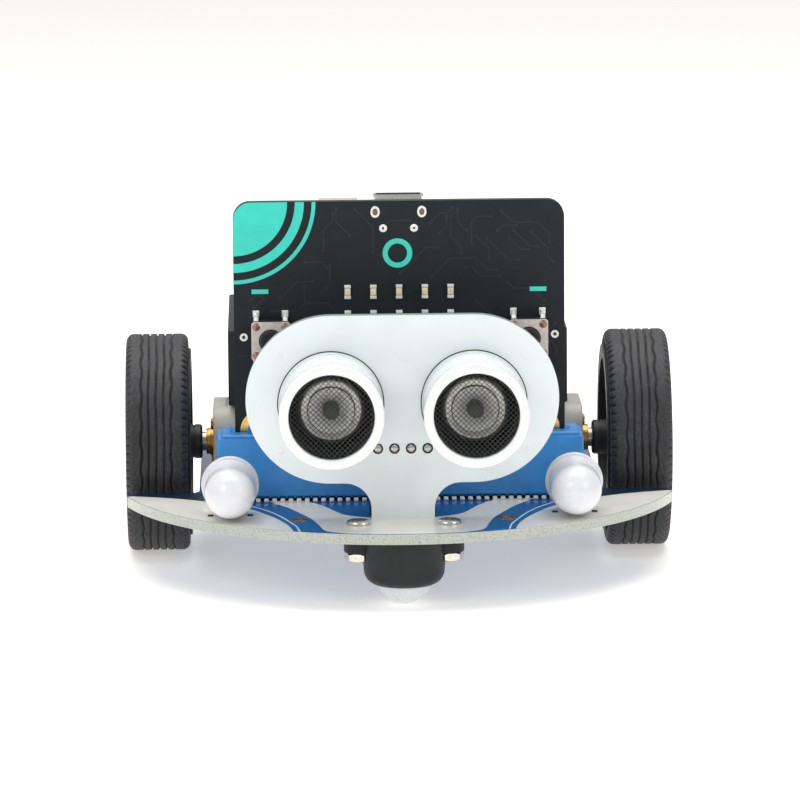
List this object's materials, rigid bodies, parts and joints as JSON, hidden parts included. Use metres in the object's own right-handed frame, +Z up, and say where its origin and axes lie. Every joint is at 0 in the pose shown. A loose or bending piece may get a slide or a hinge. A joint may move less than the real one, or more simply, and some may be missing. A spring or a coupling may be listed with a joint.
{
  "type": "two wheel robot car",
  "caption": "Two wheel robot car with ball caster, upright controller card in an edge connector and a mask-shaped ultrasonic sensor board.",
  "frame": {"origin": "on the floor under the middle of the car's length and width", "axes": "+X to the car's left as it drives, which is the right-hand side seen from the front, -Y towards the front bumper, +Z up"},
  "size_m": [0.086, 0.0856, 0.0595],
  "materials": {
    "blue_board": "glossy solder mask",
    "white_board": "glossy solder mask",
    "black_board": "satin solder mask",
    "blue_plastic": "moulded",
    "tinned_metal": "bright tin",
    "chip_black": "moulded epoxy",
    "led_cream": "clear epoxy",
    "steel": "pressed sheet",
    "black_plastic": "moulded",
    "ivory_plastic": "moulded",
    "can_white": "gloss",
    "mesh_wire": "woven wire",
    "cone_silver": "matt",
    "gold_plate": "gold plated",
    "lamp_diffuser": "milky epoxy",
    "ball_white": "polished",
    "fastener_steel": "zinc plated",
    "tyre_rubber": "matt rubber",
    "rim_plastic": "moulded",
    "shaft_steel": "ground",
    "gear_brass": "machined",
    "gearbox_brass": "stamped",
    "motor_steel": "plated can",
    "bracket_grey": "moulded",
    "cell_wrap": "shrink sleeve",
    "foam": "foam tape"
  },
  "bodies": {
    "chassis": {"main_board": "blue_board", "sensor_board": "white_board", "controller_card": "black_board", "edge_connector": "blue_plastic", "edge_contacts": "tinned_metal", "headlight_leads": "tinned_metal", "battery_contacts": "tinned_metal", "board_chips": "chip_black", "card_chips": "chip_black", "underside_sensors": "chip_black", "infrared_receiver": "chip_black", "card_lights": "led_cream", "usb_socket": "steel", "button_housings": "steel", "power_switch": "steel", "usb_tongue": "black_plastic", "sensor_pin_block": "black_plastic", "sensor_socket": "black_plastic", "caster_housing": "black_plastic", "battery_box": "black_plastic", "header_blocks": "black_plastic", "buzzer": "black_plastic", "card_battery_socket": "ivory_plastic", "battery_socket": "ivory_plastic", "transducer_cans": "can_white", "transducer_meshes": "mesh_wire", "transducer_cones": "cone_silver", "sensor_pins": "gold_plate", "header_pins": "gold_plate", "left_headlight": "lamp_diffuser", "right_headlight": "lamp_diffuser", "board_screws": "fastener_steel", "board_nuts": "fastener_steel", "left_gearbox": "gearbox_brass", "right_gearbox": "gearbox_brass", "left_motor": "motor_steel", "right_motor": "motor_steel", "left_motor_bracket": "bracket_grey", "right_motor_bracket": "bracket_grey", "battery_cells": "cell_wrap", "foam_pad": "foam"},
    "left_wheel_set": {"left_tyre": "tyre_rubber", "left_wheel": "rim_plastic", "left_axle": "shaft_steel"},
    "right_wheel_set": {"right_tyre": "tyre_rubber", "right_wheel": "rim_plastic", "right_axle": "shaft_steel"},
    "caster_ball": {"caster_ball": "ball_white"},
    "left_button": {"left_button": "black_plastic"},
    "right_button": {"right_button": "black_plastic"},
    "reset_button": {"reset_button": "black_plastic"},
    "power_slider": {"power_switch_slider": "black_plastic"},
    "left_third_gear": {"left_third_gear": "gear_brass"},
    "left_second_gear": {"left_second_gear": "gear_brass"},
    "left_first_gear": {"left_first_gear": "gear_brass"},
    "left_pinion": {"left_pinion": "gear_brass"},
    "right_third_gear": {"right_third_gear": "gear_brass"},
    "right_second_gear": {"right_second_gear": "gear_brass"},
    "right_first_gear": {"right_first_gear": "gear_brass"},
    "right_pinion": {"right_pinion": "gear_brass"}
  },
  "joints": [
    {"name": "left_wheel_spin", "type": "hinge", "parent": "chassis", "child": "left_wheel_set", "pos_m": [0, 0.009, 0.01725], "axis": [1, 0, 0], "continuous": true},
    {"name": "left_third_gear_spin", "type": "hinge", "parent": "chassis", "child": "left_third_gear", "pos_m": [0, 0.0122, 0.01725], "axis": [1, 0, 0], "continuous": true},
    {"name": "left_second_gear_spin", "type": "hinge", "parent": "chassis", "child": "left_second_gear", "pos_m": [0, 0.009, 0.01725], "axis": [1, 0, 0], "continuous": true},
    {"name": "left_first_gear_spin", "type": "hinge", "parent": "chassis", "child": "left_first_gear", "pos_m": [0, 0.0122, 0.01725], "axis": [1, 0, 0], "continuous": true},
    {"name": "left_pinion_spin", "type": "hinge", "parent": "chassis", "child": "left_pinion", "pos_m": [0, 0.009, 0.01725], "axis": [1, 0, 0], "continuous": true},
    {"name": "right_wheel_spin", "type": "hinge", "parent": "chassis", "child": "right_wheel_set", "pos_m": [0, 0.009, 0.01725], "axis": [1, 0, 0], "continuous": true},
    {"name": "right_third_gear_spin", "type": "hinge", "parent": "chassis", "child": "right_third_gear", "pos_m": [0, 0.0122, 0.01725], "axis": [1, 0, 0], "continuous": true},
    {"name": "right_second_gear_spin", "type": "hinge", "parent": "chassis", "child": "right_second_gear", "pos_m": [0, 0.009, 0.01725], "axis": [1, 0, 0], "continuous": true},
    {"name": "right_first_gear_spin", "type": "hinge", "parent": "chassis", "child": "right_first_gear", "pos_m": [0, 0.0122, 0.01725], "axis": [1, 0, 0], "continuous": true},
    {"name": "right_pinion_spin", "type": "hinge", "parent": "chassis", "child": "right_pinion", "pos_m": [0, 0.009, 0.01725], "axis": [1, 0, 0], "continuous": true},
    {"name": "caster_roll", "type": "hinge", "parent": "chassis", "child": "caster_ball", "pos_m": [0, -0.0345, 0.00476], "axis": [1, 0, 0], "continuous": true},
    {"name": "left_button_press", "type": "slide", "parent": "chassis", "child": "left_button", "axis": [0, 1, 0], "range_m": [0, 0.00025], "stiffness_N_per_m": 400, "springref_m": -0.002},
    {"name": "right_button_press", "type": "slide", "parent": "chassis", "child": "right_button", "axis": [0, 1, 0], "range_m": [0, 0.00025], "stiffness_N_per_m": 400, "springref_m": -0.002},
    {"name": "reset_button_press", "type": "slide", "parent": "chassis", "child": "reset_button", "axis": [0, -1, 0], "range_m": [0, 0.0002], "stiffness_N_per_m": 400, "springref_m": -0.002},
    {"name": "power_switch_slide", "type": "slide", "parent": "chassis", "child": "power_slider", "axis": [1, 0, 0], "range_m": [0, 0.002]}
  ],
  "couplings": [
    {"joint": "left_third_gear_spin", "follows": "left_wheel_spin", "ratio": -3},
    {"joint": "left_second_gear_spin", "follows": "left_wheel_spin", "ratio": 9},
    {"joint": "left_first_gear_spin", "follows": "left_wheel_spin", "ratio": -27},
    {"joint": "left_pinion_spin", "follows": "left_wheel_spin", "ratio": 81},
    {"joint": "right_third_gear_spin", "follows": "right_wheel_spin", "ratio": -3},
    {"joint": "right_second_gear_spin", "follows": "right_wheel_spin", "ratio": 9},
    {"joint": "right_first_gear_spin", "follows": "right_wheel_spin", "ratio": -27},
    {"joint": "right_pinion_spin", "follows": "right_wheel_spin", "ratio": 81}
  ]
}
